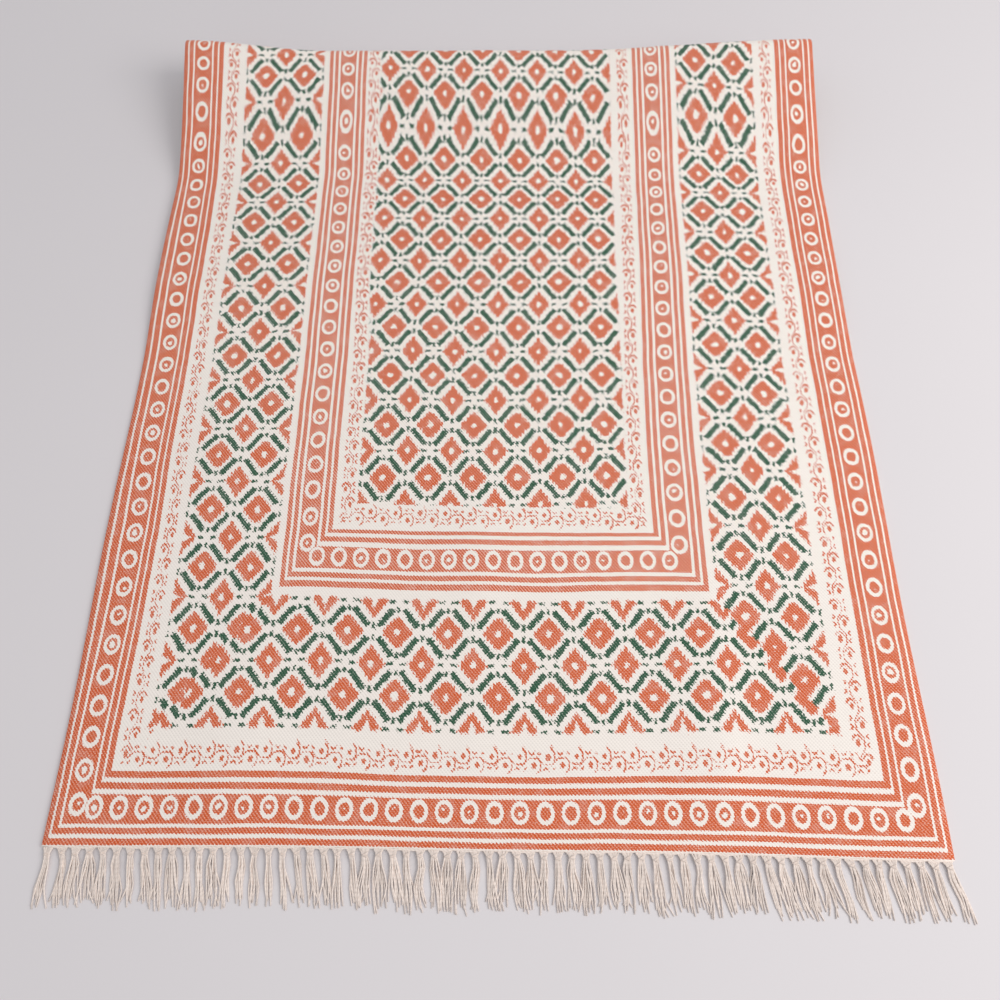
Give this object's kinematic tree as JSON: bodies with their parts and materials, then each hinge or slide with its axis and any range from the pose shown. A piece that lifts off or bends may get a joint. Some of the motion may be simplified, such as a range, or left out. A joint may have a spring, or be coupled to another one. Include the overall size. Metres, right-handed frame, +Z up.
{
  "type": "dhurrie rug",
  "caption": "Flat-woven cotton rug with printed trellis and ring borders and knotted fringes, lying with its far end folded back under itself.",
  "frame": {"origin": "on the floor, under the middle of the rug's whole outline, fringes and fold included", "axes": "+X across the rug to the right, +Y along it from the open fringe to the folded end, +Z up from the floor"},
  "size_m": [0.9314, 1.165, 0.0716],
  "materials": {
    "printed_cotton": "matt flat-woven cream cotton, hand printed in faded terracotta and dark green",
    "fringe_cotton": "matt undyed plied cotton yarn"
  },
  "bodies": {
    "root": {"rug_cloth": "printed_cotton", "fringe_near": "fringe_cotton", "fringe_folded_under": "fringe_cotton"}
  },
  "joints": []
}
